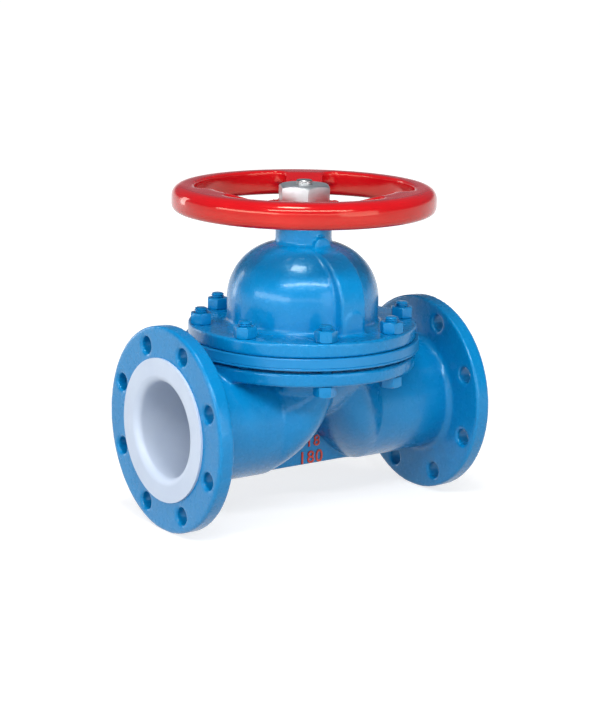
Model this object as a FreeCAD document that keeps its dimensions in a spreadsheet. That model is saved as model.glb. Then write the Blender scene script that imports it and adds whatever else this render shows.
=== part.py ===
# Weir type diaphragm valve, nominal bore 100, lined body, flanged ends, rising stem in a
# handwheel that stays at its height. Millimetres, pipe along X, stem along +Z, the origin
# under the stem on the line where the two end flanges stand.
import FreeCAD, Part
import math
import os
import Sketcher

V = FreeCAD.Vector
doc = FreeCAD.newDocument("DiaphragmValve")
sheet = doc.addObject("Spreadsheet::Sheet", "Sizes")

DIMENSIONS = {
    # body and its end flanges
    "face_to_face": 350.0,
    "raised_face": 2.5,
    "raised_face_diameter": 150.0,
    "lip_round": 8.0,
    "flange_diameter": 215.0,
    "flange_thickness": 17.0,
    "flange_edge_round": 1.5,
    "pipe_bolt_circle": 180.0,
    "pipe_bolt_count": 8,
    "pipe_bolt_hole": 18.0,
    "bore": 100.0,
    "lining_wall": 3.5,
    "lining_gap": 0.1,
    "pipe_wall": 8.0,
    "pipe_neck_round": 7.0,
    # passage lobes, outside of the casting, heights from the pipe axis
    "lobe_start": 62.5,
    "lobe_mid": 32.0,
    "lobe_mid_half_width": 77.0,
    "lobe_mid_depth": 42.0,
    "lobe_mid_rise": 23.5,
    "lobe_end": 5.0,
    "lobe_end_half_width": 73.0,
    "lobe_end_depth": 10.5,
    "lobe_end_rise": 65.0,
    "lobe_edge_round": 3.0,
    "ramp_slope": 0.75,
    "bowl_radius": 84.2,
    "mouth_step": 1.7,
    "bowl_lift": 2.4,
    "web_thickness": 10.0,
    # top flange of the body, called the deck
    "deck_height": 65.9,
    "deck_thickness": 14.5,
    "deck_radius": 121.0,
    "deck_edge_round": 2.0,
    "lip_margin": 21.0,
    # bonnet bolts
    "deck_bolt_margin": 12.0,
    "deck_bolt_count": 8,
    "deck_bolt_diameter": 14.0,
    "deck_hole_clearance": 0.5,
    "bolt_flats": 21.0,
    "bolt_head_height": 11.0,
    "bolt_nut_height": 12.1,
    "bolt_end": 5.4,
    "bolt_end_chamfer": 1.2,
    "stud_hole_floor": 1.0,
    "stud_foot_gap": 0.5,
    # diaphragm
    "face_layer": 2.5,
    "cushion_edge": 9.9,
    "cushion_wall": 8.5,
    "diaphragm_proud": 3.0,
    "bowl_gap": 0.3,
    "stud_diameter": 12.0,
    "stud_head_radius": 14.0,
    "stud_head_height": 4.0,
    "stud_head_level": 1.4,
    "stud_length": 30.0,
    "stud_gap": 0.2,
    # compressor
    "press_gap": 0.3,
    "press_floor": 16.0,
    "press_arm_width": 16.0,
    "press_arm_inset": 4.6,
    "press_arm_top": 70.0,
    "press_cross_drop": 16.0,
    "press_hub_radius": 20.0,
    "press_hub_top": 72.0,
    "press_lug_width": 13.2,
    "press_lug_reach": 80.0,
    "press_lug_foot": 1.2,
    "press_lug_height": 16.0,
    "press_lug_root": 12.0,
    "pin_diameter": 8.0,
    "pin_height": 18.0,
    # bonnet
    "bonnet_flange_thickness": 15.2,
    "dome_step": 3.9,
    "dome_wall": 8.0,
    "dome_straight": 25.0,
    "crown_radius": 60.0,
    "dome_foot_round": 5.0,
    "neck_radius": 29.7,
    "neck_round": 4.0,
    "neck_height": 17.0,
    "neck_edge_round": 1.0,
    "rib_width": 30.5,
    "rib_reach": 92.0,
    "rib_crown_radius": 55.5,
    "rear_rib_crown_radius": 45.0,
    "pad_width": 22.0,
    "pad_height": 22.0,
    "pad_foot": 2.0,
    "pad_proud": 1.2,
    "slot_clearance": 0.8,
    "slot_end_clearance": 1.5,
    "slot_top": 45.0,
    "boss_radius": 10.0,
    "boss_proud": 6.0,
    "boss_drop": 1.3,
    "boss_foot": 3.0,
    "guide_radius": 31.0,
    "guide_foot": 24.0,
    # stem
    "stem_diameter": 24.0,
    "stem_gap": 0.3,
    "stem_foot_diameter": 18.0,
    "stem_foot_length": 36.0,
    "stem_travel": 38.0,
    "stem_top_clearance": 0.5,
    "stem_end_diameter": 17.0,
    "stem_end_proud": 4.6,
    "stem_end_chamfer": 0.8,
    "seal_wire": 3.0,
    "seal_level": 7.0,
    # drive sleeve, thrust washers and bearing cap
    "bearing_bore_radius": 25.0,
    "bearing_gap": 0.3,
    "thrust_washer": 3.0,
    "collar_height": 8.0,
    "cap_height": 12.5,
    "sleeve_radius": 18.5,
    "hub_seat": 1.5,
    "sleeve_head_radius": 16.5,
    "cap_seal_wire": 2.5,
    "lock_screw_diameter": 6.0,
    "lock_screw_level": 6.0,
    "lock_screw_bite": 2.0,
    "lock_screw_sink": 0.5,
    # handwheel, its key, washer and nut
    "wheel_diameter": 278.0,
    "rim_depth": 24.0,
    "rim_height": 26.7,
    "rim_level": 15.4,
    "rim_top_round": 11.0,
    "rim_foot_round": 7.0,
    "rim_inner_round": 4.0,
    "hub_radius": 32.0,
    "hub_height": 19.0,
    "dish_thickness": 13.0,
    "dish_run": 12.0,
    "spoke_width": 40.0,
    "opening_round": 13.0,
    "opening_start": 10.4,
    "wheel_turn": 54.7,
    "key_width": 8.0,
    "key_height": 5.4,
    "key_depth": 2.5,
    "key_length": 17.0,
    "nut_washer_radius": 28.0,
    "nut_washer": 3.0,
    "nut_flats": 50.0,
    "nut_height": 19.9,
    "nut_lid": 4.4,
    "nut_turn": 2.5,
}


# How close two places are when they count as the same one.
TOUCH = 0.01


def fill_sheet():
    for row, (alias, number) in enumerate(DIMENSIONS.items(), start=1):
        sheet.set("A%d" % row, alias)
        sheet.set("B%d" % row, str(number))
        sheet.setAlias("B%d" % row, alias)
    doc.recompute()


class Size:
    """A size with its number and the words that bind a property to the sheet."""

    def __init__(self, text, number):
        self.text = text
        self.number = float(number)

    def __add__(self, other):
        other = as_size(other)
        return Size("(%s + %s)" % (self.text, other.text), self.number + other.number)

    def __sub__(self, other):
        other = as_size(other)
        return Size("(%s - %s)" % (self.text, other.text), self.number - other.number)

    def __mul__(self, other):
        other = as_size(other)
        return Size("(%s * %s)" % (self.text, other.text), self.number * other.number)

    def __truediv__(self, other):
        other = as_size(other)
        return Size("(%s / %s)" % (self.text, other.text), self.number / other.number)

    def __neg__(self):
        return Size("(0 - %s)" % self.text, -self.number)

    def __rsub__(self, other):
        return as_size(other) - self

    def root(self):
        return Size("sqrt(%s)" % self.text, math.sqrt(self.number))


def as_size(value):
    return value if isinstance(value, Size) else Size(repr(float(value)), value)


def size(alias):
    return Size("Sizes." + alias, sheet.get(alias))


# How far a cutting shape runs past the face that it opens, and a fused one into its neighbour.
OVERCUT = as_size(5)
OVERLAP = as_size(1)
# Tangent of 30 degrees: the slope of a hexagon's corner chamfer, and across flats to radius.
THIRTY = as_size(1) / as_size(3).root()


def leg(hypotenuse, side):
    """The other short side of a right triangle."""
    return (hypotenuse * hypotenuse - side * side).root()


def bind(obj, **sizes):
    for name, value in sizes.items():
        setattr(obj, name, as_size(value).number)
        obj.setExpression(name, as_size(value).text)
    return obj


def place(obj, x=0, y=0, z=0, turn=None):
    turn = turn or FreeCAD.Rotation()
    spot = V(as_size(x).number, as_size(y).number, as_size(z).number)
    obj.Placement = FreeCAD.Placement(spot, turn)
    for axis, value in (("x", x), ("y", y), ("z", z)):
        if isinstance(value, Size):
            obj.setExpression("Placement.Base." + axis, value.text)
    return obj


ALONG_X = FreeCAD.Rotation(V(0, 1, 0), 90)
ALONG_Y = FreeCAD.Rotation(V(1, 0, 0), 90)
FACING_X = FreeCAD.Rotation(V(1, 1, 1), 120)


def cylinder(name, radius, height, x=0, y=0, z=0, turn=None):
    obj = doc.addObject("Part::Cylinder", name)
    bind(obj, Radius=radius, Height=height)
    return place(obj, x, y, z, turn)


def ball(name, radius, z):
    obj = doc.addObject("Part::Sphere", name)
    bind(obj, Radius=radius)
    return place(obj, 0, 0, z)


def block(name, low, high):
    """A box between two corners."""
    obj = doc.addObject("Part::Box", name)
    span = [as_size(b) - as_size(a) for a, b in zip(low, high)]
    bind(obj, Length=span[0], Width=span[1], Height=span[2])
    return place(obj, *low)


def hexagon(name, flats, height, z):
    obj = doc.addObject("Part::Prism", name)
    obj.Polygon = 6
    bind(obj, Circumradius=flats * THIRTY, Height=height)
    return place(obj, 0, 0, z)


def joined(name, *pieces):
    obj = doc.addObject("Part::MultiFuse", name)
    obj.Shapes = list(pieces)
    obj.Refine = True
    return obj


def cut(name, base, tool):
    obj = doc.addObject("Part::Cut", name)
    obj.Base = base
    obj.Tool = tool
    return obj


def common(name, *pieces):
    obj = doc.addObject("Part::MultiCommon", name)
    obj.Shapes = list(pieces)
    return obj


def mirrored(name, source, normal):
    obj = doc.addObject("Part::Mirroring", name)
    obj.Source = source
    obj.Normal = normal
    return obj


def rounded(name, base, radius, pick):
    """Round the edges of a piece that the pick function names."""
    doc.recompute()
    obj = doc.addObject("Part::Fillet", name)
    obj.Base = base
    amount = as_size(radius).number
    obj.Edges = [(i, amount, amount) for i, edge in enumerate(base.Shape.Edges, 1) if pick(edge)]
    return obj


def plane_of(body, role):
    return [part for part in body.Origin.OriginFeatures if part.Role == role][0]


def corner_edge(shape, reach, level, along):
    """Name of the round edge at one corner of a turned outline."""
    for i, edge in enumerate(shape.Edges, 1):
        if not isinstance(edge.Curve, Part.Circle):
            continue
        centre = edge.Curve.Center
        height = centre.x if along == "X" else centre.z
        if abs(edge.Curve.Radius - reach) < TOUCH and abs(height - level) < TOUCH:
            return "Edge%d" % i
    raise ValueError("no edge at radius %.2f, height %.2f" % (reach, level))


def turned(name, outline, along="Z", rounds=()):
    """A turned body. The outline lists (radius, height) corners, or an arc to the next corner
    as (radius, height, centre radius, centre height, way). A radius or height of None is left
    to the arc that meets it. Rounds lists (corner number, radius)."""
    body = doc.addObject("PartDesign::Body", name)
    sketch = body.newObject("Sketcher::SketchObject", name + "_outline")
    sketch.AttachmentSupport = [(plane_of(body, "XZ_Plane" if along == "Z" else "XY_Plane"), "")]
    sketch.MapMode = "FlatFace"
    corners = [corner_sizes(outline, i) for i in range(len(outline))]
    count = len(corners)

    def flat(reach, level):
        return V(reach, level, 0) if along == "Z" else V(level, reach, 0)

    for i, corner in enumerate(outline):
        start = flat(corners[i][0].number, corners[i][1].number)
        after = corners[(i + 1) % count]
        end = flat(after[0].number, after[1].number)
        if len(corner) == 2:
            sketch.addGeometry(Part.LineSegment(start, end), False)
            continue
        centre = flat(as_size(corner[2]).number, as_size(corner[3]).number)
        sketch.addGeometry(arc_between(start, end, centre, corner[4]), False)
    reach_kind, level_kind = ("DistanceX", "DistanceY") if along == "Z" else ("DistanceY", "DistanceX")

    def fix(kind, index, point, value, label):
        if value.number == 0.0:
            axis = -2 if kind == "DistanceX" else -1
            sketch.addConstraint(Sketcher.Constraint("PointOnObject", index, point, axis))
            return
        item = sketch.addConstraint(
            Sketcher.Constraint(kind, -1, 1, index, point, value.number))
        sketch.renameConstraint(item, label)
        sketch.setExpression("Constraints." + label, value.text)

    starts = []
    ends = []
    for i, corner in enumerate(outline):
        backwards = len(corner) == 5 and corner[4] == "clockwise"
        starts.append(2 if backwards else 1)
        ends.append(1 if backwards else 2)
    for i, corner in enumerate(outline):
        after = (i + 1) % count
        sketch.addConstraint(Sketcher.Constraint("Coincident", i, ends[i], after, starts[after]))
    for i, corner in enumerate(outline):
        reach, level = corners[i]
        if corner[0] is not None:
            fix(reach_kind, i, starts[i], reach, "reach%d" % i)
        if corner[1] is not None:
            fix(level_kind, i, starts[i], level, "level%d" % i)
        if len(corner) == 5:
            fix(reach_kind, i, 3, as_size(corner[2]), "middle_reach%d" % i)
            fix(level_kind, i, 3, as_size(corner[3]), "middle_level%d" % i)
    doc.recompute()
    turn = body.newObject("PartDesign::Revolution", name + "_turned")
    turn.Profile = sketch
    turn.ReferenceAxis = (sketch, ["V_Axis" if along == "Z" else "H_Axis"])
    turn.Angle = 360
    body.Tip = turn
    doc.recompute()
    for step, (number, radius) in enumerate(rounds):
        reach, level = corners[number]
        base = body.Tip
        edge = corner_edge(base.Shape, reach.number, level.number, along)
        fillet = body.newObject("PartDesign::Fillet", "%s_round%d" % (name, step))
        fillet.Base = (base, [edge])
        fillet.Radius = as_size(radius).number
        fillet.setExpression("Radius", as_size(radius).text)
        body.Tip = fillet
        doc.recompute()
    return body


def corner_sizes(outline, i):
    """Radius and height of a corner, with what is left open worked out from its arc."""
    reach, level = outline[i][:2]
    if reach is not None and level is not None:
        return as_size(reach), as_size(level)
    own_arc = len(outline[i]) == 5
    arc = outline[i] if own_arc else outline[i - 1]
    other = outline[(i + 1) % len(outline)] if own_arc else arc
    middle_reach, middle_level = as_size(arc[2]).number, as_size(arc[3]).number
    radius = math.hypot(as_size(other[0]).number - middle_reach,
                        as_size(other[1]).number - middle_level)
    if level is None:
        run = as_size(reach).number - middle_reach
        return as_size(reach), as_size(middle_level + math.sqrt(radius ** 2 - run ** 2))
    rise = as_size(level).number - middle_level
    return as_size(middle_reach + math.sqrt(radius ** 2 - rise ** 2)), as_size(level)


def arc_between(start, end, centre, way):
    """Arc from start to end about a centre."""
    first = math.atan2(start.y - centre.y, start.x - centre.x)
    last = math.atan2(end.y - centre.y, end.x - centre.x)
    circle = Part.Circle(centre, V(0, 0, 1), start.distanceToPoint(centre))
    if way == "clockwise":
        first, last = last, first
    return Part.ArcOfCircle(circle, first, last if last > first else last + 2 * math.pi)


def drilled(body, circle, hole, count, along="Z", first_angle=0.5):
    """Cut a circle of through holes, the first one half a step from the first axis."""
    base = body.Tip
    sketch = body.newObject("Sketcher::SketchObject", body.Name + "_hole")
    sketch.AttachmentSupport = [(plane_of(body, "XY_Plane" if along == "Z" else "YZ_Plane"), "")]
    sketch.MapMode = "FlatFace"
    angle = 2 * math.pi * first_angle / count.number
    spoke = circle.number / 2
    spot = V(spoke * math.cos(angle), spoke * math.sin(angle), 0)
    sketch.addGeometry(Part.Circle(spot, V(0, 0, 1), hole.number / 2), False)
    for kind, turn in (("DistanceX", "cos"), ("DistanceY", "sin")):
        number = spot.x if turn == "cos" else spot.y
        item = sketch.addConstraint(Sketcher.Constraint(kind, -1, 1, 0, 3, number))
        sketch.renameConstraint(item, "spot_" + turn)
        words = "%s / 2 * %s(%s * 360 deg / %s)" % (circle.text, turn, first_angle, count.text)
        sketch.setExpression("Constraints.spot_" + turn, words)
    item = sketch.addConstraint(Sketcher.Constraint("Diameter", 0, hole.number))
    sketch.renameConstraint(item, "hole_size")
    sketch.setExpression("Constraints.hole_size", hole.text)
    pocket = body.newObject("PartDesign::Pocket", body.Name + "_hole_cut")
    pocket.Profile = sketch
    pocket.Type = "ThroughAll"
    pocket.Midplane = True
    body.Tip = pocket
    doc.recompute()
    if pocket.Shape.Volume > base.Shape.Volume - TOUCH:
        raise ValueError("the hole cuts nothing in " + body.Name)
    ring = body.newObject("PartDesign::PolarPattern", body.Name + "_hole_ring")
    ring.Originals = [pocket]
    ring.Axis = (sketch, ["N_Axis"])
    ring.Angle = 360
    ring.Occurrences = int(count.number)
    ring.setExpression("Occurrences", count.text)
    body.Tip = ring
    doc.recompute()
    return body


fill_sheet()

# Levels along Z that more than one piece uses.
axis = size("flange_diameter") / 2
metal_face = size("face_to_face") / 2 - size("raised_face")
mouth_radius = size("bowl_radius") - size("mouth_step")
dome_radius = size("bowl_radius") - size("dome_step")
deck_circle = (size("deck_radius") - size("deck_bolt_margin")) * 2
bore_radius = size("bore") / 2
casting_bore = bore_radius + size("lining_wall")
pipe_radius = casting_bore + size("pipe_wall")
deck_top = axis + size("deck_height")
deck_foot = deck_top - size("deck_thickness")
lip_top = deck_top + size("lining_wall")
bowl_centre = lip_top + leg(size("bowl_radius"), mouth_radius) + size("bowl_lift")
face_top = lip_top + size("face_layer")
cushion_top = face_top + size("cushion_edge")
bonnet_deck = cushion_top + size("bonnet_flange_thickness")
shoulder = bonnet_deck + size("dome_straight")
crown_centre = dome_radius - size("crown_radius")
crown_top = shoulder + size("crown_radius")
neck_top = crown_top + size("neck_height")
cap_foot = neck_top - size("cap_height")
collar_top = cap_foot - size("thrust_washer")
collar_foot = collar_top - size("collar_height")
bearing_seat = collar_foot - size("thrust_washer")
guide_foot = crown_top - size("guide_foot")
hub_foot = neck_top + size("hub_seat")
hub_top = hub_foot + size("hub_height")
nut_foot = hub_top + size("nut_washer")
nut_top = nut_foot + size("nut_height")
sleeve_top = nut_top - size("nut_lid") - size("bearing_gap")
bolt_hole = size("deck_bolt_diameter") + size("deck_hole_clearance") * 2
stem_bore = size("stem_diameter") / 2 + size("stem_gap")

# Places on the deck's bolt circle: studs above the two pipes, bolts elsewhere.
deck_step = 360.0 / sheet.get("deck_bolt_count")
deck_angles = [(number + 0.5) * deck_step for number in range(int(sheet.get("deck_bolt_count")))]
pipe_shadow = math.degrees(math.asin(pipe_radius.number * 2 / deck_circle.number))
STUD_ANGLES = [a for a in deck_angles if min(a % 180, 180 - a % 180) < pipe_shadow]
BOLT_ANGLES = [a for a in deck_angles if a not in STUD_ANGLES]


def make_lobe(name, inset):
    """One passage lobe as a loft from the round pipe to the wide arch beside the weir."""
    slant = inset * size("ramp_slope")
    centre = axis
    stations = (
        (size("lobe_start") + slant, pipe_radius - inset, pipe_radius - inset, centre),
        (size("lobe_mid") + slant, size("lobe_mid_half_width") - inset,
         size("lobe_mid_depth") + size("lobe_mid_rise") - slant, centre + size("lobe_mid_rise")),
        (size("lobe_end") + slant, size("lobe_end_half_width") - inset,
         size("lobe_end_depth") + size("lobe_end_rise") - slant, centre + size("lobe_end_rise")),
    )
    sections = []
    for number, (x, half_width, half_height, z) in enumerate(stations):
        section = doc.addObject("Part::Feature", "%s_section%d" % (name, number))
        section.Shape = oval(half_width.number, half_height.number)
        place(section, x, 0, z, FACING_X)
        sections.append(section)
    loft = doc.addObject("Part::Loft", name + "_loft")
    loft.Sections = sections
    loft.Solid = True
    roof = deck_top - size("deck_thickness") / 2
    room = block(name + "_room", (0, -size("deck_radius"), 0),
                 (metal_face, size("deck_radius"), roof))
    lobe = common(name + "_lobe", loft, room)
    pipe = cylinder(name + "_pipe", pipe_radius - inset, metal_face - size("lobe_start") - slant,
                    size("lobe_start") + slant, 0, axis, ALONG_X)
    return lobe, pipe


def oval(half_width, half_height):
    """Round or oval section whose seam lies at its top, inside the deck."""
    if half_width > half_height:
        curve = Part.Ellipse(V(0, 0, 0), half_width, half_height)
    else:
        curve = Part.Circle(V(0, 0, 0), V(0, 0, 1), half_width)
    return Part.Wire([curve.toShape(math.radians(90), math.radians(450))])


def make_flared_mouth(name, bore, face, lip, opens):
    """The end of a passage where the lining sits in the casting, its edge flared at 45 degrees."""
    outline = [(0, face - lip - OVERLAP), (bore, face - lip - OVERLAP), (bore, face - lip),
               (bore + lip, face)]
    if opens:
        outline += [(bore + lip, face + OVERCUT), (0, face + OVERCUT)]
    else:
        outline += [(0, face)]
    return place(turned(name, outline, along="X"), 0, 0, axis)


def make_round_mouth(name, bore, face, lip):
    """The open end of the lining, its edge rounded; it runs on past the end face."""
    start = face - lip
    outline = [(0, start - OVERLAP), (bore, start - OVERLAP),
               (bore, start, bore + lip, start, "counter"), (bore + lip, None),
               (bore + lip, face + OVERCUT), (0, face + OVERCUT)]
    return place(turned(name, outline, along="X"), 0, 0, axis)


def make_passage(name, inset, bowl_radius, mouth_radius, end_mouth, top):
    """The hollow through the body: two pipes, two lobes, the bowl over the weir."""
    lobe, pipe = make_lobe(name, inset)
    half = joined(name + "_half", lobe, pipe, end_mouth)
    other = mirrored(name + "_other_half", half, (1, 0, 0))
    bowl_ball = ball(name + "_ball", bowl_radius, bowl_centre)
    mouth = cylinder(name + "_mouth", mouth_radius, top - deck_foot, 0, 0, deck_foot)
    below = cylinder(name + "_below", mouth_radius, top, 0, 0, 0)
    bowl = common(name + "_bowl", bowl_ball, below)
    return joined(name, half, other, bowl, mouth)


def make_body():
    flange_back = metal_face - size("flange_thickness")
    flange = turned("end_flange", [
        (0, size("lobe_start")), (pipe_radius, size("lobe_start")),
        (pipe_radius, flange_back), (size("flange_diameter") / 2, flange_back),
        (size("flange_diameter") / 2, metal_face), (0, metal_face)],
        along="X", rounds=[(2, size("pipe_neck_round")), (3, size("flange_edge_round")),
                           (4, size("flange_edge_round"))])
    drilled(flange, size("pipe_bolt_circle"), size("pipe_bolt_hole"), size("pipe_bolt_count"),
            along="X")
    place(flange, 0, 0, axis)
    deck = turned("deck", [
        (0, deck_foot), (size("deck_radius"), deck_foot), (size("deck_radius"), deck_top),
        (0, deck_top)], rounds=[(1, size("deck_edge_round")), (2, size("deck_edge_round"))])
    lobe = make_lobe("casting", as_size(0))[0]
    end = size("lobe_end").number

    def weir_edge(edge):
        box = edge.BoundBox
        on_end = abs(box.XMin - end) < TOUCH and abs(box.XMax - end) < TOUCH
        return on_end and not isinstance(edge.Curve, Part.Line)

    soft_lobe = rounded("casting_soft_lobe", lobe, size("lobe_edge_round"), weir_edge)
    half = joined("casting_half", flange, soft_lobe)
    other = mirrored("casting_other_half", half, (1, 0, 0))
    bowl_ball = ball("casting_ball", size("bowl_radius") + size("lining_wall") + size("pipe_wall"),
                     bowl_centre)
    bowl_room = block("casting_bowl_room", (-size("lobe_start"), -size("deck_radius"), 0),
                      (size("lobe_start"), size("deck_radius"), deck_foot + OVERLAP))
    bowl = common("casting_bowl", bowl_ball, bowl_room)
    web = block("casting_web", (-size("lobe_start"), -size("web_thickness") / 2, axis - pipe_radius),
                (size("lobe_start"), size("web_thickness") / 2, axis + size("lobe_end_depth")))
    outside = joined("casting_outside", half, other, deck, bowl, web)
    mouth = make_flared_mouth("casting_mouth", casting_bore, metal_face,
                              size("lip_round") - size("lining_wall"), True)
    inside = make_passage("casting_inside", size("pipe_wall"),
                          size("bowl_radius") + size("lining_wall"),
                          mouth_radius + size("lining_wall"), mouth, deck_top + OVERCUT)
    through = cylinder("casting_bolt_hole", bolt_hole / 2, size("deck_thickness") + OVERCUT * 2,
                       0, 0, deck_foot - OVERCUT)
    blind = cylinder("casting_stud_hole", size("deck_bolt_diameter") / 2,
                     size("deck_thickness") + OVERCUT, 0, 0, deck_foot + size("stud_hole_floor"))
    holes = joined("casting_holes", inside, ring_of("casting_bolt_holes", through, BOLT_ANGLES),
                   ring_of("casting_stud_holes", blind, STUD_ANGLES))
    return cut("body_casting", outside, holes)


def make_lining():
    back = size("lining_wall") - size("lining_gap")
    outer_mouth = make_flared_mouth("lining_outer_mouth", bore_radius + back, metal_face,
                                    size("lip_round") - size("lining_wall"), False)
    fill = make_passage("lining_outside", size("pipe_wall") + size("lining_gap"),
                        size("bowl_radius") + back, mouth_radius + back, outer_mouth, deck_top)
    face = cylinder("lining_face", size("raised_face_diameter") / 2, size("raised_face"),
                    metal_face, 0, axis, ALONG_X)
    other_face = mirrored("lining_other_face", face, (1, 0, 0))
    lip = cylinder("lining_lip", size("deck_radius") - size("lip_margin"), size("lining_wall"),
                   0, 0, deck_top)
    whole = joined("lining_whole", fill, face, other_face, lip)
    mouth = make_round_mouth("lining_mouth", bore_radius, metal_face + size("raised_face"),
                             size("lip_round"))
    hollow = make_passage("lining_hollow", size("pipe_wall") + size("lining_wall"),
                          size("bowl_radius"), mouth_radius, mouth, lip_top + OVERCUT)
    return cut("body_lining", whole, hollow)


def bowl_layer(name, foot, top, ball_radius, wall):
    """A diaphragm layer: a drilled flat edge and a bowl that fills the mouth."""
    back_radius = ball_radius - wall
    edge = size("deck_radius") + size("diaphragm_proud")
    layer = turned(name + "_sheet", [
        (0, bowl_centre - ball_radius, 0, bowl_centre, "counter"),
        (None, foot),
        (edge, foot), (edge, top),
        (None, top, 0, bowl_centre, "clockwise"),
        (0, bowl_centre - back_radius)])
    return drilled(layer, deck_circle, bolt_hole, size("deck_bolt_count"))


def make_diaphragm():
    face_ball = size("bowl_radius") - size("bowl_gap")
    cushion_ball = face_ball - size("face_layer")
    head_foot = bowl_centre - cushion_ball + size("stud_head_level")
    head_top = head_foot + size("stud_head_height")
    sheet_face = bowl_layer("diaphragm_face", lip_top, face_top, face_ball, size("face_layer"))
    boss = cylinder("diaphragm_face_boss", size("stud_head_radius"),
                    size("stud_head_level") + OVERLAP, 0, 0,
                    head_foot - size("stud_head_level") - OVERLAP)
    face = joined("diaphragm_face", sheet_face, boss)
    sheet_cushion = bowl_layer("diaphragm_cushion", face_top, cushion_top, cushion_ball,
                               size("cushion_wall"))
    pocket = cylinder("diaphragm_cushion_pocket", size("stud_head_radius") + size("stud_gap"),
                      size("stud_head_height") + size("stud_gap") + OVERCUT, 0, 0,
                      head_foot - OVERCUT)
    hole = cylinder("diaphragm_cushion_hole", size("stud_diameter") / 2 + size("stud_gap"),
                    size("stud_length"), 0, 0, head_foot)
    cushion = cut("diaphragm_cushion", sheet_cushion,
                  joined("diaphragm_cushion_room", pocket, hole))
    stud = turned("diaphragm_stud", [
        (0, head_foot), (size("stud_head_radius"), head_foot),
        (size("stud_head_radius"), head_top), (size("stud_diameter") / 2, head_top),
        (size("stud_diameter") / 2, head_top + size("stud_length")),
        (0, head_top + size("stud_length"))])
    return face, cushion, stud


def make_compressor():
    """Cast thrust piece: a round floor, four arms, a hub and two guide lugs."""
    back_ball = size("bowl_radius") - size("bowl_gap") - size("face_layer") - size("cushion_wall")
    press_ball = back_ball - size("press_gap")
    foot = bowl_centre - press_ball
    shape_ball = ball("press_ball", press_ball, bowl_centre)
    floor = cylinder("press_floor", press_ball, size("press_floor"), 0, 0, foot)
    half_arm = size("press_arm_width") / 2
    reach = press_ball - size("press_arm_inset")
    top = foot + size("press_arm_top")
    cross_top = top - size("press_cross_drop")
    arm_y = block("press_arm_y", (-half_arm, -reach, foot), (half_arm, reach, top))
    arm_x = block("press_arm_x", (-reach, -half_arm, foot), (reach, half_arm, cross_top))
    hub = cylinder("press_hub", size("press_hub_radius"), size("press_hub_top"), 0, 0, foot)
    cast = common("press_cast", joined("press_rough", floor, arm_y, arm_x, hub), shape_ball)
    half_lug = size("press_lug_width") / 2
    lug_foot = cushion_top + size("press_lug_foot")
    lugs = block("press_lugs", (-half_lug, -size("press_lug_reach"), lug_foot),
                 (half_lug, size("press_lug_reach"), lug_foot + size("press_lug_height")))
    lug_gap = cylinder("press_lug_gap", reach - size("press_lug_root"),
                       size("press_lug_height"), 0, 0, lug_foot)
    lug_ends = cut("press_lug_ends", lugs, lug_gap)
    hub_head = foot + size("press_hub_top")
    bore = cylinder("press_bore", size("stem_foot_diameter") / 2, size("stem_foot_length"), 0, 0,
                    hub_head - size("stem_foot_length"))
    stud_top = make_stud_top()
    stud_bore = cylinder("press_stud_bore", size("stud_diameter") / 2,
                         stud_top - foot + OVERCUT, 0, 0, foot - OVERCUT)
    pin_hole = cylinder("press_pin_hole", size("pin_diameter") / 2, size("press_hub_radius") * 4,
                        -size("press_hub_radius") * 2, 0, hub_head - size("pin_height"), ALONG_X)
    holes = joined("press_holes", bore, stud_bore, pin_hole)
    compressor = cut("compressor", joined("press_whole", cast, lug_ends), holes)
    pin = cylinder("compressor_pin", size("pin_diameter") / 2, size("press_hub_radius") * 2,
                   -size("press_hub_radius"), 0, hub_head - size("pin_height"), ALONG_X)
    return compressor, pin, hub_head


def make_stud_top():
    cushion_ball = size("bowl_radius") - size("bowl_gap") - size("face_layer")
    head_foot = bowl_centre - cushion_ball + size("stud_head_level")
    return head_foot + size("stud_head_height") + size("stud_length")


def make_stem(hub_head):
    foot = hub_head - size("stem_foot_length")
    thread_top = sleeve_top - size("stem_travel") - size("stem_top_clearance")
    end_top = nut_top + size("stem_end_proud")
    end_radius = size("stem_end_diameter") / 2
    stem = turned("stem_bar", [
        (0, foot), (size("stem_foot_diameter") / 2, foot),
        (size("stem_foot_diameter") / 2, hub_head), (size("stem_diameter") / 2, hub_head),
        (size("stem_diameter") / 2, thread_top), (end_radius, thread_top),
        (end_radius, end_top - size("stem_end_chamfer")),
        (end_radius - size("stem_end_chamfer"), end_top), (0, end_top)])
    pin_hole = cylinder("stem_pin_hole", size("pin_diameter") / 2, size("stem_diameter") * 2,
                        -size("stem_diameter"), 0, hub_head - size("pin_height"), ALONG_X)
    return cut("stem", stem, pin_hole)


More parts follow.
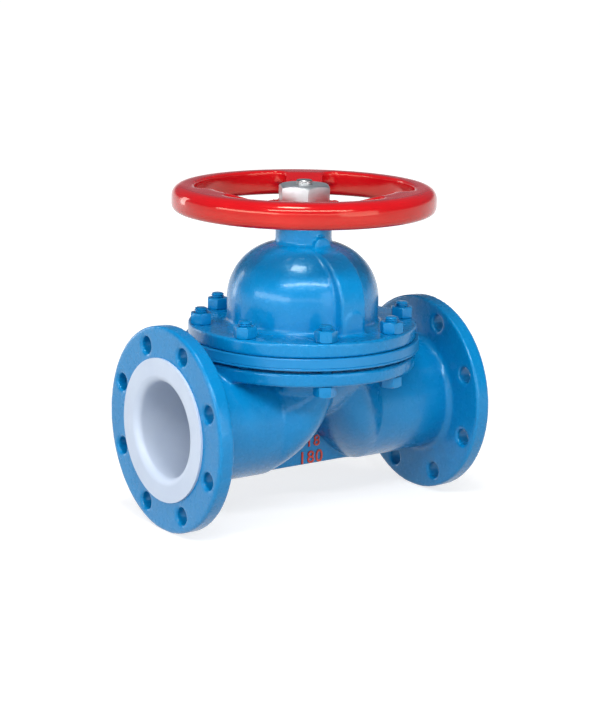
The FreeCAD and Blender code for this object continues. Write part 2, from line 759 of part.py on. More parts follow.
def make_bonnet():
    outside = turned("bonnet_outside", [
        (0, cushion_top), (size("deck_radius"), cushion_top), (size("deck_radius"), bonnet_deck),
        (dome_radius, bonnet_deck),
        (dome_radius, shoulder, crown_centre, shoulder, "counter"),
        (size("neck_radius"), None), (size("neck_radius"), neck_top), (0, neck_top)],
        rounds=[(1, size("deck_edge_round")), (2, size("deck_edge_round")),
                (3, size("dome_foot_round")), (5, size("neck_round")),
                (6, size("neck_edge_round"))])
    drilled(outside, deck_circle, bolt_hole, size("deck_bolt_count"))
    inner = dome_radius - size("dome_wall")
    seal_groove = guide_foot + size("seal_level")
    seal_half = size("seal_wire") / 2
    seal_reach = size("stem_diameter") / 2 + size("seal_wire")
    inside = turned("bonnet_inside", [
        (0, cushion_top - OVERCUT), (inner, cushion_top - OVERCUT),
        (inner, shoulder, crown_centre, shoulder, "counter"),
        (size("guide_radius"), None), (size("guide_radius"), guide_foot),
        (stem_bore, guide_foot),
        (stem_bore, seal_groove - seal_half), (seal_reach, seal_groove - seal_half),
        (seal_reach, seal_groove + seal_half), (stem_bore, seal_groove + seal_half),
        (stem_bore, bearing_seat), (size("bearing_bore_radius"), bearing_seat),
        (size("bearing_bore_radius"), neck_top + OVERCUT), (0, neck_top + OVERCUT)])
    rib = make_rib("front_rib", size("rib_crown_radius"))
    rear_rib = make_rib("rear_rib", size("rear_rib_crown_radius"))
    other_rib = mirrored("bonnet_other_rib", rear_rib, (0, 1, 0))
    boss_reach = size("neck_radius") + size("boss_proud")
    boss_root = size("neck_radius") - size("bearing_bore_radius") + size("boss_foot")
    boss_round = cylinder("bonnet_boss", size("boss_radius"), size("boss_proud") + boss_root, 0,
                          boss_root - size("neck_radius"), crown_top - size("boss_drop"), ALONG_Y)
    boss_room = block("bonnet_boss_room",
                      (-size("neck_radius"), -boss_reach, crown_top - size("boss_foot")),
                      (size("neck_radius"), 0, neck_top))
    boss = common("bonnet_half_boss", boss_round, boss_room)
    whole = joined("bonnet_whole", outside, rib, other_rib, boss)
    half_slot = size("press_lug_width") / 2 + size("slot_clearance")
    slot_reach = size("press_lug_reach") + size("slot_end_clearance")
    slot = block("bonnet_slot", (-half_slot, -slot_reach, cushion_top - OVERCUT),
                 (half_slot, slot_reach, bonnet_deck + size("slot_top")))
    screw_hole = cylinder("bonnet_screw_hole", size("lock_screw_diameter") / 2,
                          size("neck_radius"), 0, size("neck_radius") + OVERCUT,
                          neck_top - size("lock_screw_level"), ALONG_Y)
    return cut("bonnet", whole, joined("bonnet_room", inside, slot, screw_hole))


def make_rib(name, radius):
    """Guide rib on the near side of the dome, with an arched pad on its foot."""
    centre_y = size("rib_reach") - radius
    half = size("rib_width") / 2
    post = block(name + "_post", (-half, -size("rib_reach"), bonnet_deck - OVERLAP),
                 (half, 0, shoulder))
    round_top = cylinder(name + "_round", radius, size("rib_width"), -half, -centre_y, shoulder,
                         ALONG_X)
    top_room = block(name + "_top_room", (-half, -size("rib_reach"), shoulder),
                     (half, -centre_y, crown_top))
    top = common(name + "_top", round_top, top_room)
    fill = block(name + "_fill", (-half, -centre_y, shoulder), (half, 0, shoulder + radius))
    rib = joined(name + "_whole", post, top, fill)
    face = -size("rib_reach") - size("pad_proud")
    pad_half = size("pad_width") / 2
    pad_foot = bonnet_deck + size("pad_foot")
    arch = pad_foot + size("pad_height") - pad_half
    pad_root = size("dome_wall") - size("rib_reach")
    pad_block = block(name + "_pad_block", (-pad_half, face, pad_foot), (pad_half, pad_root, arch))
    pad_arch = cylinder(name + "_pad_arch", pad_half, size("pad_proud") + size("dome_wall"), 0,
                        pad_root, arch, ALONG_Y)
    return joined(name, rib, pad_block, pad_arch)


def make_bolts():
    """Hexagon bolts where a head has room under the deck, studs above the pipes, and nuts."""
    head_foot = deck_foot - size("bolt_head_height")
    nut_seat = bonnet_deck
    end = nut_seat + size("bolt_nut_height") + size("bolt_end")
    shank_radius = size("deck_bolt_diameter") / 2
    head = chamfered_hexagon("bolt_head", size("bolt_flats"), head_foot,
                             size("bolt_head_height"), "foot")
    shank = turned("bolt_shank", [
        (0, deck_foot - OVERLAP), (shank_radius, deck_foot - OVERLAP),
        (shank_radius, end - size("bolt_end_chamfer")),
        (shank_radius - size("bolt_end_chamfer"), end), (0, end)])
    bolt = joined("bonnet_bolt", head, shank)
    nut_block = chamfered_hexagon("nut_block", size("bolt_flats"), nut_seat,
                                  size("bolt_nut_height"), "both")
    nut_bore = cylinder("nut_bore", shank_radius, size("bolt_nut_height") + OVERCUT * 2, 0, 0,
                        nut_seat - OVERCUT)
    nut = cut("bonnet_nut", nut_block, nut_bore)
    stud_foot = deck_foot + size("stud_hole_floor") + size("stud_foot_gap")
    stud = turned("bonnet_stud", [
        (0, stud_foot), (shank_radius, stud_foot), (shank_radius, end - size("bolt_end_chamfer")),
        (shank_radius - size("bolt_end_chamfer"), end), (0, end)])
    return (ring_of("bonnet_bolts", bolt, BOLT_ANGLES), ring_of("bonnet_studs", stud, STUD_ANGLES),
            ring_of("bonnet_nuts", nut, BOLT_ANGLES + STUD_ANGLES))


def chamfered_hexagon(name, flats, foot, height, ends):
    """A hexagon whose corners are turned off at its foot, its top or both."""
    prism = hexagon(name + "_prism", flats, height, foot)
    reach = flats * THIRTY * 2
    fall = (reach - flats / 2) * THIRTY
    top = foot + height
    outline = [(0, foot)]
    if ends == "top":
        outline += [(reach, foot)]
    else:
        outline += [(flats / 2, foot), (reach, foot + fall)]
    if ends == "foot":
        outline += [(reach, top)]
    else:
        outline += [(reach, top - fall), (flats / 2, top)]
    outline += [(0, top)]
    return common(name, prism, turned(name + "_cone", outline))


def ring_of(label, pattern, angles):
    """Copies of one piece on the deck's bolt circle, each a solid of its own."""
    doc.recompute()
    copies = []
    for angle in angles:
        copy = pattern.Shape.copy()
        copy.translate(V(deck_circle.number / 2, 0, 0))
        copy.rotate(V(0, 0, 0), V(0, 0, 1), angle)
        copies.append(copy)
    group = doc.addObject("Part::Feature", label)
    group.Shape = Part.makeCompound(copies)
    return group


def make_drive():
    """Drive sleeve with its collar, the thrust washers, the bearing cap and its seal."""
    bore = stem_bore
    shaft = size("sleeve_radius")
    head = size("sleeve_head_radius")
    collar_radius = size("bearing_bore_radius") - size("bearing_gap")
    sleeve_foot = bearing_seat + size("bearing_gap")
    sleeve_turned = turned("sleeve", [
        (bore, sleeve_foot), (shaft, sleeve_foot), (shaft, collar_foot),
        (collar_radius, collar_foot), (collar_radius, collar_top), (shaft, collar_top),
        (shaft, hub_foot), (head, hub_foot), (head, sleeve_top), (bore, sleeve_top)])
    half_key = size("key_width") / 2
    key_low = hub_foot
    key_high = hub_foot + size("key_length")
    key_in = head - size("key_depth")
    key_out = key_in + size("key_height")
    keyway = block("sleeve_keyway", (key_in, -half_key, key_low), (key_out, half_key, key_high))
    sleeve = cut("stem_nut", sleeve_turned, keyway)
    key = block("handwheel_key", (key_in, -half_key, key_low), (key_out, half_key, key_high))
    washers = []
    for name, foot in (("lower_thrust_washer", bearing_seat), ("upper_thrust_washer", collar_top)):
        inner = shaft + size("bearing_gap")
        washers.append(turned(name, [
            (inner, foot), (collar_radius, foot), (collar_radius, foot + size("thrust_washer")),
            (inner, foot + size("thrust_washer"))]))
    cap_bore = shaft + size("bearing_gap")
    groove = cap_foot + size("cap_height") / 2
    wire = size("cap_seal_wire")
    cap = turned("cap_ring", [
        (cap_bore, cap_foot), (size("bearing_bore_radius"), cap_foot),
        (size("bearing_bore_radius"), neck_top), (cap_bore, neck_top),
        (cap_bore, groove + wire / 2), (shaft + wire, groove + wire / 2),
        (shaft + wire, groove - wire / 2), (cap_bore, groove - wire / 2)])
    screw_foot = size("bearing_bore_radius") - size("lock_screw_bite")
    screw_end = size("neck_radius") - size("lock_screw_sink")
    screw_radius = size("lock_screw_diameter") / 2
    screw_z = neck_top - size("lock_screw_level")
    seat = cylinder("cap_screw_seat", screw_radius, size("neck_radius") - screw_foot, 0,
                    size("neck_radius"), screw_z, ALONG_Y)
    bearing_cap = cut("bearing_cap", cap, seat)
    screw = cylinder("cap_lock_screw", screw_radius, screw_end - screw_foot, 0, screw_end,
                     screw_z, ALONG_Y)
    cap_seal = o_ring("cap_seal", shaft + wire / 2, wire, groove)
    stem_seal = o_ring("stem_seal", size("stem_diameter") / 2 + size("seal_wire") / 2,
                       size("seal_wire"), guide_foot + size("seal_level"))
    return [sleeve, key, bearing_cap, screw, cap_seal, stem_seal] + washers


def o_ring(name, radius, wire, z):
    ring = doc.addObject("Part::Torus", name)
    bind(ring, Radius1=radius, Radius2=wire / 2)
    return place(ring, 0, 0, z)


def make_handwheel():
    """Dished cast wheel: hub, three wide spokes and a deep rim."""
    outer = size("wheel_diameter") / 2
    inner = outer - size("rim_depth")
    rim_foot = neck_top + size("rim_level")
    rim_top = rim_foot + size("rim_height")
    hub = size("hub_radius")
    dish_foot = rim_top - size("dish_thickness")
    dish = turned("wheel_dish", [
        (size("sleeve_head_radius"), hub_foot), (hub, hub_foot),
        (hub, hub_top - size("dish_thickness")), (inner - size("dish_run"), dish_foot),
        (inner, dish_foot), (inner, rim_foot), (outer, rim_foot), (outer, rim_top),
        (inner - size("dish_run"), rim_top), (hub, hub_top),
        (size("sleeve_head_radius"), hub_top)],
        rounds=[(7, size("rim_top_round")), (6, size("rim_foot_round")),
                (5, size("rim_inner_round"))])
    ring_out = cylinder("opening_out", inner, rim_top, 0, 0, hub_foot)
    ring_in = cylinder("opening_in", hub + size("opening_start"), rim_top, 0, 0, hub_foot)
    half = size("spoke_width") / 2
    spokes = []
    for number in range(3):
        bar = block("spoke_bar%d" % number, (0, -half, hub_foot), (outer, half, hub_foot + rim_top))
        spin = FreeCAD.Rotation(V(0, 0, 1), 120.0 * number)
        bar.Placement = FreeCAD.Placement(spin.multVec(V(0, -half.number, 0)), spin)
        step = math.radians(120.0 * number)
        bar.setExpression("Placement.Base.x", "%s * %r" % (half.text, math.sin(step)))
        bar.setExpression("Placement.Base.y", "%s * %r" % (half.text, -math.cos(step)))
        spokes.append(bar)
    rings = cut("opening_ring", ring_out, ring_in)
    sectors = cut("opening_sectors", rings, joined("spoke_bars", *spokes))

    def upright(edge):
        return edge.BoundBox.XLength + edge.BoundBox.YLength < TOUCH

    openings = rounded("openings", sectors, size("opening_round"), upright)
    wheel = cut("wheel_rough", dish, openings)
    wheel.Placement = FreeCAD.Placement(
        V(0, 0, 0), FreeCAD.Rotation(V(0, 0, 1), sheet.get("wheel_turn")))
    half_key = size("key_width") / 2
    key_in = size("sleeve_head_radius") - size("key_depth")
    keyway = block("wheel_keyway", (key_in, -half_key, hub_foot - OVERCUT),
                   (key_in + size("key_height"), half_key, hub_top + OVERCUT))
    return cut("handwheel", wheel, keyway)


def make_nut():
    bore = size("sleeve_head_radius")
    washer = turned("handwheel_washer", [
        (bore, hub_top), (size("nut_washer_radius"), hub_top),
        (size("nut_washer_radius"), nut_foot), (bore, nut_foot)])
    hexagon_block = chamfered_hexagon("cap_nut", size("nut_flats"), nut_foot, size("nut_height"),
                                      "top")
    room = cylinder("cap_nut_room", bore, size("nut_height") - size("nut_lid"), 0, 0, nut_foot)
    end_radius = size("stem_end_diameter") / 2 + size("stem_gap")
    hole = cylinder("cap_nut_hole", end_radius, size("nut_height") + OVERCUT, 0, 0, nut_foot)
    nut = cut("handwheel_nut", hexagon_block, joined("cap_nut_bores", room, hole))
    nut.Placement = FreeCAD.Placement(
        V(0, 0, 0), FreeCAD.Rotation(V(0, 0, 1), sheet.get("nut_turn")))
    return washer, nut


body_casting = make_body()
body_lining = make_lining()
face, cushion, stud = make_diaphragm()
compressor, pin, hub_head = make_compressor()
stem = make_stem(hub_head)
bonnet = make_bonnet()
bolts, studs, nuts = make_bolts()
drive = make_drive()
handwheel = make_handwheel()
washer, wheel_nut = make_nut()
doc.recompute()

nodes = [body_casting, body_lining, face, cushion, stud, compressor, pin, stem, bonnet, bolts,
         studs, nuts, handwheel, washer, wheel_nut] + drive
for obj in doc.Objects:
    if "Invalid" in obj.State or "Error" in obj.State:
        raise ValueError("%s did not build: %s" % (obj.Label, obj.State))
for node in nodes:
    if node.Shape.isNull() or not node.Shape.isValid():
        raise ValueError("%s has no valid shape" % node.Label)
os.makedirs("parts", exist_ok=True)
for node in nodes:
    node.Shape.exportStep("parts/%s.step" % node.Label)
    print("%-22s solids %d volume %.0f" % (node.Label, len(node.Shape.Solids), node.Shape.Volume))
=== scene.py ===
import math

import bpy
from mathutils import Matrix, Vector


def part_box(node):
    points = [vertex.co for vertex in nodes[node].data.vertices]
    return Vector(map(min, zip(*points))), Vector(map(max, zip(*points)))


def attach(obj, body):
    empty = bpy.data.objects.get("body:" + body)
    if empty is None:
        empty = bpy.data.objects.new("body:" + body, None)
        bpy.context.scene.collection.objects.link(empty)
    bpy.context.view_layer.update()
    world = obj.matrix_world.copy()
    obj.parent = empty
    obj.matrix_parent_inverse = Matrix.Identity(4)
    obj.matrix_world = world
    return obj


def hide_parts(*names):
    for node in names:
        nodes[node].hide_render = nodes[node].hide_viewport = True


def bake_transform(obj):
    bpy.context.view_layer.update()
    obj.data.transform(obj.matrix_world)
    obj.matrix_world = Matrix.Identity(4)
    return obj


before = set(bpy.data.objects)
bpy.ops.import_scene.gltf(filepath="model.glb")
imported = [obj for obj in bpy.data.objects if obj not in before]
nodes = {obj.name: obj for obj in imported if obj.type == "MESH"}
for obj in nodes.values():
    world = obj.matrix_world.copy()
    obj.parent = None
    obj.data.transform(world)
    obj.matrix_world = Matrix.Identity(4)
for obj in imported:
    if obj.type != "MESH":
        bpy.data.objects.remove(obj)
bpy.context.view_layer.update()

MM = 0.001

# Places and sizes that the pieces share, in metres, read from the frame.
BONNET_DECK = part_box("bonnet_nuts")[0].z
NUT_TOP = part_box("bonnet_nuts")[1].z
BOLT_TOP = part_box("bonnet_bolts")[1].z
HEAD_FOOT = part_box("bonnet_bolts")[0].z
STUD_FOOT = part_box("bonnet_studs")[0].z
CUSHION_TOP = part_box("diaphragm_cushion")[1].z
FACE_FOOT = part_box("diaphragm_face")[0].z
CAP_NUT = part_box("handwheel_nut")
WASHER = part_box("handwheel_washer")

# Bonnet bolting, in metres and degrees.
BOLT_CIRCLE = 109 * MM
BOLT_RADIUS = 7 * MM
BOLT_PITCH = 2 * MM
BOLT_FLATS = 21 * MM
BOLT_HEAD = 11 * MM
NUT_THREAD_DEPTH = 0.5 * MM
NUT_MOUTH_GROWTH = 0.9 * MM
NUT_MOUTH_DEPTH = 1.2 * MM
# Place on the bolt circle: how far each nut is turned.
NUT_TURNS = {22.5: 20.0, 67.5: 20.0, 112.5: 56.9, 157.5: 57.4,
             202.5: 11.0, 247.5: 23.9, 292.5: 8.5, 337.5: 56.3}
STUD_PLACES = (22.5, 157.5, 202.5, 337.5)

# Thread form, as shares of the pitch, and the rounded tip of a rod, in metres.
THREAD_DEPTH = 0.55
THREAD_LAND = 0.12
THREAD_FLANK = 0.38
TIP_LENGTH = 2.2 * MM
TIP_SHOULDER = 0.4 * MM
TIP_ROUND = ((0.9 * MM, 0.7 * MM), (2.4 * MM, 0.0))

# Hexagons: the radius of a turned end face, as a share of the flats, and the broken edges.
HEXAGON_END = 0.48
HEXAGON_EDGE = 0.35 * MM

# Cap nut on the wheel and its washer, in metres and degrees.
CAP_FLATS = 50 * MM
CAP_LID = 4.4 * MM
CAP_BORE = 16.5 * MM
CAP_HOLE = 8.8 * MM
CAP_HOLE_MOUTH = 9.8 * MM
CAP_HOLE_CHAMFER = 0.6 * MM
CAP_TURN = 2.5
WASHER_RADIUS = 28 * MM
WASHER_CHAMFER = 0.5 * MM

# Diaphragm, in metres: both layers, their edge, and the ball that shapes the bowl.
DIAPHRAGM_EDGE = 124 * MM
DIAPHRAGM_EDGE_ROUND = 0.6 * MM
PAINTED_EDGE = 119 * MM
FACE_LAYER = 2.5 * MM
CUSHION_LAYER = 9.9 * MM
CUSHION_WALL = 8.5 * MM
FLAT_RING = 105 * MM
BOWL_BALL = 83.9 * MM
BOWL_MIDDLE = -89.2
BOWL_STEPS = 20

# Numerals cast on the web, in metres: what they say, middle, foot and height.
NUMERALS = (("18", 12.6 * MM, 66.0 * MM, 12.0 * MM),
            ("180", 10.0 * MM, 47.6 * MM, 13.5 * MM))
NUMERAL_PLANE = -5.2 * MM
NUMERAL_DEPTH = 0.7 * MM
NUMERAL_THINNING = -0.15 * MM
NUMERAL_EDGE = 0.3 * MM
NUMERAL_SPACING = 1.15
FIGURE_HEIGHT = 0.70

# Photo camera, found from the flange bolt holes, in metres, millimetres and degrees.
CAMERA_PLACE = (-1.2764, -1.7968, 0.6583)
CAMERA_YAW = math.radians(35.34)
CAMERA_PITCH = math.radians(-12.47)
CAMERA_ROLL = math.radians(0.87)
CAMERA_LENS = 108.77
CAMERA_SENSOR = 36.0
CAMERA_REACH = 100.0

# Studio, in metres: what the lamps point at, the white horizon and grey sky as heights on
# a ball of one metre, and the floor with its glow near the part and far from it.
STUDIO_AIM = Vector((0.0, 0.0, 0.2))
HORIZON_TOP = 0.02
SKY_FOOT = 0.14
SKY_GREY = (0.13, 0.15, 0.18, 1)
FLOOR_SIZE = 30
FLOOR_GREY = (0.42, 0.42, 0.42, 1)
FLOOR_ROUGHNESS = 0.8
GLOW_NEAR = 0.74
GLOW_FAR = 0.97
GLOW_NEAR_REACH = 0.3
GLOW_FAR_REACH = 1.6

# Meshes: points closer than a weld, in metres, are one point; then the steps of a full turn.
WELD = 0.01 * MM
CAST_WELD = 0.001 * MM
TURNED_STEPS = 96
SMALL_STEPS = 48
SCREW_STEPS = 28
DIAPHRAGM_STEPS = 128


def deselect():
    bpy.ops.object.select_all(action="DESELECT")


def pick(piece):
    """Make one piece the only selected and the active one."""
    deselect()
    piece.select_set(True)
    bpy.context.view_layer.objects.active = piece


# Studio

def make_camera():
    data = bpy.data.cameras.new("photo_camera")
    data.lens = CAMERA_LENS
    data.sensor_width = CAMERA_SENSOR
    data.clip_end = CAMERA_REACH
    camera = bpy.data.objects.new("photo_camera", data)
    bpy.context.scene.collection.objects.link(camera)
    ahead = Vector((math.cos(CAMERA_PITCH) * math.sin(CAMERA_YAW),
                    math.cos(CAMERA_PITCH) * math.cos(CAMERA_YAW), math.sin(CAMERA_PITCH)))
    right = Vector((math.cos(CAMERA_YAW), -math.sin(CAMERA_YAW), 0.0))
    up = right.cross(ahead)
    roll_right = math.cos(CAMERA_ROLL) * right + math.sin(CAMERA_ROLL) * up
    roll_up = -math.sin(CAMERA_ROLL) * right + math.cos(CAMERA_ROLL) * up
    camera.matrix_world = Matrix.Translation(CAMERA_PLACE) @ Matrix(
        (roll_right, roll_up, -ahead)).transposed().to_4x4()
    bpy.context.scene.camera = camera


def softbox(name, azimuth, elevation, distance, width, height, glow):
    """An area lamp seen from the part at an azimuth (from +Y to +X) and elevation, in degrees,
    as wide and high as the angles given. Its power follows from how bright it looks."""
    azimuth, elevation = math.radians(azimuth), math.radians(elevation)
    data = bpy.data.lights.new(name, "AREA")
    data.shape = "RECTANGLE"
    data.size = 2 * distance * math.tan(math.radians(width / 2))
    data.size_y = 2 * distance * math.tan(math.radians(height / 2))
    data.energy = glow * math.pi * data.size * data.size_y
    lamp = bpy.data.objects.new(name, data)
    bpy.context.scene.collection.objects.link(lamp)
    way = Vector((math.sin(azimuth) * math.cos(elevation),
                  math.cos(azimuth) * math.cos(elevation), math.sin(elevation)))
    lamp.location = STUDIO_AIM + way * distance
    lamp.rotation_euler = (-way).to_track_quat("-Z", "Y").to_euler()


def make_world():
    """White at the horizon, soft grey overhead, the same for every ray."""
    world = bpy.data.worlds.new("studio")
    bpy.context.scene.world = world
    world.use_nodes = True
    tree = world.node_tree
    background = tree.nodes["Background"]
    coords = tree.nodes.new("ShaderNodeTexCoord")
    height = tree.nodes.new("ShaderNodeSeparateXYZ")
    ramp = tree.nodes.new("ShaderNodeValToRGB")
    ramp.color_ramp.elements[0].position = HORIZON_TOP
    ramp.color_ramp.elements[0].color = (1, 1, 1, 1)
    ramp.color_ramp.elements[1].position = SKY_FOOT
    ramp.color_ramp.elements[1].color = SKY_GREY
    tree.links.new(coords.outputs["Generated"], height.inputs[0])
    tree.links.new(height.outputs["Z"], ramp.inputs["Fac"])
    tree.links.new(ramp.outputs["Color"], background.inputs["Color"])
    background.inputs["Strength"].default_value = 1.0


def make_floor():
    """A pale floor that looks white to the camera and in reflections, and keeps the shadow."""
    deselect()
    bpy.ops.mesh.primitive_plane_add(size=FLOOR_SIZE, location=(0, 0, 0))
    floor = bpy.context.object
    floor.name = "studio_floor"
    material = bpy.data.materials.new("floor_white")
    material.use_nodes = True
    tree = material.node_tree
    shader = tree.nodes["Principled BSDF"]
    shader.inputs["Base Color"].default_value = FLOOR_GREY
    shader.inputs["Roughness"].default_value = FLOOR_ROUGHNESS
    shader.inputs["Specular IOR Level"].default_value = 0.0
    shader.inputs["Emission Color"].default_value = (1, 1, 1, 1)
    path = tree.nodes.new("ShaderNodeLightPath")
    seen = path.outputs["Is Camera Ray"]
    for ray in ("Is Glossy Ray", "Is Transmission Ray"):
        either = tree.nodes.new("ShaderNodeMath")
        either.operation = "MAXIMUM"
        tree.links.new(seen, either.inputs[0])
        tree.links.new(path.outputs[ray], either.inputs[1])
        seen = either.outputs[0]
    coords = tree.nodes.new("ShaderNodeTexCoord")
    reach = tree.nodes.new("ShaderNodeVectorMath")
    reach.operation = "LENGTH"
    tree.links.new(coords.outputs["Object"], reach.inputs[0])
    level = tree.nodes.new("ShaderNodeMapRange")
    level.inputs["From Min"].default_value = GLOW_NEAR_REACH
    level.inputs["From Max"].default_value = GLOW_FAR_REACH
    level.inputs["To Min"].default_value = GLOW_NEAR
    level.inputs["To Max"].default_value = GLOW_FAR
    tree.links.new(reach.outputs["Value"], level.inputs["Value"])
    glow = tree.nodes.new("ShaderNodeMath")
    glow.operation = "MULTIPLY"
    tree.links.new(level.outputs["Result"], glow.inputs[1])
    tree.links.new(seen, glow.inputs[0])
    tree.links.new(glow.outputs[0], shader.inputs["Emission Strength"])
    floor.data.materials.append(material)


def make_studio():
    make_world()
    make_floor()
    softbox("front_right_box", azimuth=168, elevation=12, distance=2.6, width=34,
            height=26, glow=2.6)
    softbox("front_strip", azimuth=-150, elevation=12, distance=3.2, width=50,
            height=7, glow=3.0)
    softbox("front_high_strip", azimuth=-150, elevation=44, distance=2.6, width=62,
            height=5, glow=24.0)
    softbox("left_strip", azimuth=-96, elevation=13, distance=2.6, width=56,
            height=9, glow=8.0)
    softbox("rear_left_strip", azimuth=-19, elevation=9, distance=2.6, width=9,
            height=26, glow=4.0)
    softbox("overhead_box", azimuth=-120, elevation=76, distance=2.0, width=13,
            height=13, glow=26.0)


# Finishes

BLUE = (0.000, 0.212, 0.500)
BLUE_SHADE = (0.000, 0.192, 0.465)
RED = (0.56, 0.005, 0.009)
RED_SHADE = (0.50, 0.004, 0.008)
RED_MARK = (0.76, 0.10, 0.05)
PRIMER = (0.14, 0.15, 0.16)
PRIMER_SHADE = (0.10, 0.11, 0.12)
WHITE = (0.57, 0.65, 0.77)
WHITE_SHADE = (0.53, 0.61, 0.74)
RUBBER = (0.02, 0.02, 0.022)
RUBBER_SHADE = (0.03, 0.03, 0.03)
# The colours that the paints give to what they reflect.
WARM_GLOSS = (1.0, 0.84, 0.60)
COOL_GLOSS = (0.40, 0.80, 1.0)
NO_TINT = (1.0, 1.0, 1.0)


class Finish:
    """A material in the making: its node tree with short ways to add nodes."""

    def __init__(self, name):
        self.material = bpy.data.materials.new(name)
        self.material.use_nodes = True
        self.tree = self.material.node_tree
        self.shader = self.tree.nodes["Principled BSDF"]
        self.coords = self.add("ShaderNodeTexCoord")

    def add(self, kind, **values):
        node = self.tree.nodes.new(kind)
        for name, value in values.items():
            setattr(node, name, value)
        return node

    def link(self, output, socket):
        self.tree.links.new(output, socket)

    def noise(self, scale, detail=2.0, rough=0.5):
        node = self.add("ShaderNodeTexNoise")
        node.inputs["Scale"].default_value = scale
        node.inputs["Detail"].default_value = detail
        node.inputs["Roughness"].default_value = rough
        self.link(self.coords.outputs["Object"], node.inputs["Vector"])
        return node.outputs["Fac"]

    def ramp(self, source, stops):
        node = self.add("ShaderNodeValToRGB")
        elements = node.color_ramp.elements
        while len(elements) < len(stops):
            elements.new(0.5)
        for element, (place, colour) in zip(elements, stops):
            element.position = place
            element.color = (*colour, 1)
        self.link(source, node.inputs["Fac"])
        return node.outputs["Color"]

    def range(self, source, low, high, start=0.0, end=1.0):
        node = self.add("ShaderNodeMapRange")
        node.inputs["From Min"].default_value = start
        node.inputs["From Max"].default_value = end
        node.inputs["To Min"].default_value = low
        node.inputs["To Max"].default_value = high
        self.link(source, node.inputs["Value"])
        return node.outputs["Result"]

    def mix(self, mask, under, over):
        """Over where the mask is 1, under where it is 0; each is a colour or a socket."""
        node = self.add("ShaderNodeMix", data_type="RGBA")
        self.link(mask, node.inputs[0])
        for socket, value in ((node.inputs[6], under), (node.inputs[7], over)):
            if isinstance(value, tuple):
                socket.default_value = (*value, 1)
            else:
                self.link(value, socket)
        return node.outputs[2]

    def reach(self):
        """Distance from the stem axis, in metres."""
        flat = self.add("ShaderNodeVectorMath", operation="MULTIPLY")
        flat.inputs[1].default_value = (1, 1, 0)
        self.link(self.coords.outputs["Object"], flat.inputs[0])
        length = self.add("ShaderNodeVectorMath", operation="LENGTH")
        self.link(flat.outputs[0], length.inputs[0])
        return length.outputs["Value"]

    def colour(self, scale, detail, shade, colour):
        """The base colour, drifting between a shade and the full colour."""
        drift = self.ramp(self.noise(scale, detail), [(0.35, shade), (0.65, colour)])
        self.link(drift, self.shader.inputs["Base Color"])

    def roughness(self, scale, detail, low, high):
        """The roughness, wandering between a low and a high value."""
        drift = self.range(self.noise(scale, detail), low, high, 0.3, 0.7)
        self.link(drift, self.shader.inputs["Roughness"])

    def bump(self, layers):
        """Stack of (height source, strength, distance in metres)."""
        normal = None
        for source, strength, distance in layers:
            node = self.add("ShaderNodeBump")
            node.inputs["Strength"].default_value = strength
            node.inputs["Distance"].default_value = distance
            self.link(source, node.inputs["Height"])
            if normal is not None:
                self.link(normal, node.inputs["Normal"])
            normal = node.outputs["Normal"]
        self.link(normal, self.shader.inputs["Normal"])

    def set(self, **values):
        for name, value in values.items():
            self.shader.inputs[name.replace("_", " ")].default_value = value


def enamel(name, colour, shade, rough, skin, coat=0.0, tint=NO_TINT, gloss=0.5):
    """Gloss enamel over a casting: the colour drifts a little and the cast skin shows.
    The three layers of bump are the mould's waves, the sand's grain and the paint's pores."""
    finish = Finish(name)
    finish.colour(18.0, 4.0, shade, colour)
    finish.roughness(90.0, 3.0, rough - 0.04, rough + 0.06)
    finish.bump([(finish.noise(45.0, 2.0), 0.40 * skin, 1.5 * MM),
                 (finish.noise(280.0, 3.0, 0.6), 0.50 * skin, 0.40 * MM),
                 (finish.noise(1100.0, 2.0, 0.6), 0.40 * skin, 0.12 * MM)])
    finish.set(Coat_Weight=coat, Coat_Roughness=0.05, Specular_Tint=(*tint, 1),
               Specular_IOR_Level=gloss)
    return finish.material


def metal(name, colour, shade, rough_low, rough_high):
    """Bare or plated metal with a fine turned grain."""
    finish = Finish(name)
    finish.colour(60.0, 4.0, shade, colour)
    finish.roughness(350.0, 4.0, rough_low, rough_high)
    finish.bump([(finish.noise(900.0, 3.0), 0.25, 0.15 * MM)])
    finish.set(Metallic=1.0)
    return finish.material


def plastic(name, colour, shade, rough):
    """Satin lining or rubber with a moulded grain."""
    finish = Finish(name)
    finish.colour(25.0, 3.0, shade, colour)
    finish.roughness(120.0, 3.0, rough - 0.05, rough + 0.05)
    finish.bump([(finish.noise(60.0, 2.0), 0.15, 0.5 * MM),
                 (finish.noise(700.0, 2.0), 0.15, 0.2 * MM)])
    return finish.material


def painted_at_edge(name, inside, inside_rough, paint, paint_rough):
    """A diaphragm layer: its own colour inside, painted over where its edge shows."""
    finish = Finish(name)
    mask = finish.range(finish.reach(), 0.0, 1.0, PAINTED_EDGE, PAINTED_EDGE + MM)
    finish.link(finish.mix(mask, inside, paint), finish.shader.inputs["Base Color"])
    finish.link(finish.range(mask, inside_rough, paint_rough), finish.shader.inputs["Roughness"])
    finish.bump([(finish.noise(330.0, 3.0), 0.3, 0.3 * MM)])
    return finish.material


